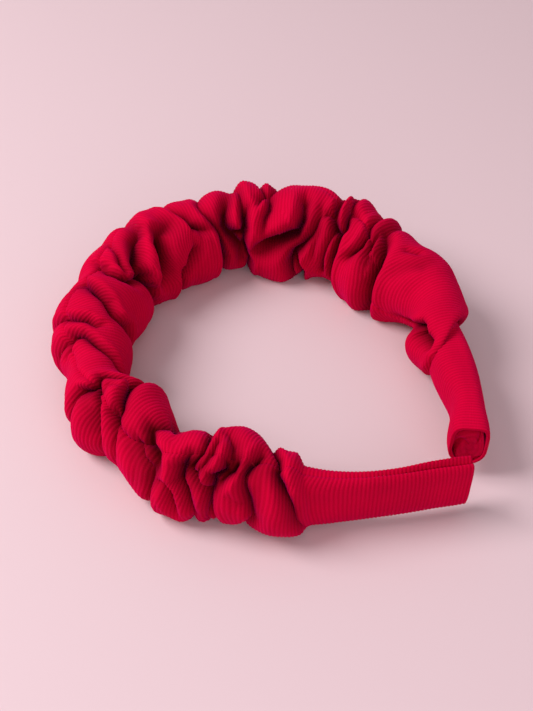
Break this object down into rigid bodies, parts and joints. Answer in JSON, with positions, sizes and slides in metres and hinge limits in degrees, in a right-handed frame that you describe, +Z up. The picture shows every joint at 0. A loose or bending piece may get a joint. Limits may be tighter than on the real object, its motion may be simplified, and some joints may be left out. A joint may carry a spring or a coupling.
{
  "type": "ruched hairband",
  "caption": "Ruched needlecord hairband: a sprung plastic hoop in a gathered cloth tube, with smooth ends that grip the head behind the ears.",
  "frame": {"origin": "middle of the bounding box's footprint, on the table that the band's long edge lies on", "axes": "+Z up from the table, across the width of the strip; +Y from the open mouth towards the crown; +X from the left leg to the right leg, seen from above with the mouth nearest"},
  "size_m": [0.1448, 0.1596, 0.0294],
  "materials": {
    "needlecord": "cotton needlecord, soft pile, deep crimson",
    "needlecord_turned_in": "turned-in needlecord edge, darker in the fold",
    "hoop_plastic": "satin moulded strip, hidden inside the tube",
    "hot_glue": "clear glue dab inside each tip",
    "seam_thread": "matching polyester thread and turned-in seam edges"
  },
  "bodies": {
    "crown": {"core_crown": "hoop_plastic", "seam_crown": "seam_thread", "ruched_sleeve_crown": "needlecord"},
    "left_leg": {"core_left": "hoop_plastic", "seam_left": "seam_thread", "ruched_sleeve_left": "needlecord", "leg_sleeve_left": "needlecord", "tip_glue_left": "hot_glue", "tip_tuck_left": "needlecord_turned_in"},
    "right_leg": {"core_right": "hoop_plastic", "seam_right": "seam_thread", "ruched_sleeve_right": "needlecord", "leg_sleeve_right": "needlecord", "tip_glue_right": "hot_glue", "tip_tuck_right": "needlecord_turned_in"}
  },
  "joints": [
    {"name": "left_spring", "type": "hinge", "parent": "crown", "child": "left_leg", "pos_m": [-0.04036, 0.04627, 0.0135], "axis": [0, 0, -1], "range_deg": [0, 28], "stiffness_Nm_per_rad": 0.8},
    {"name": "right_spring", "type": "hinge", "parent": "crown", "child": "right_leg", "pos_m": [0.04086, 0.05202, 0.0135], "axis": [0, 0, 1], "range_deg": [0, 28], "stiffness_Nm_per_rad": 0.8}
  ]
}
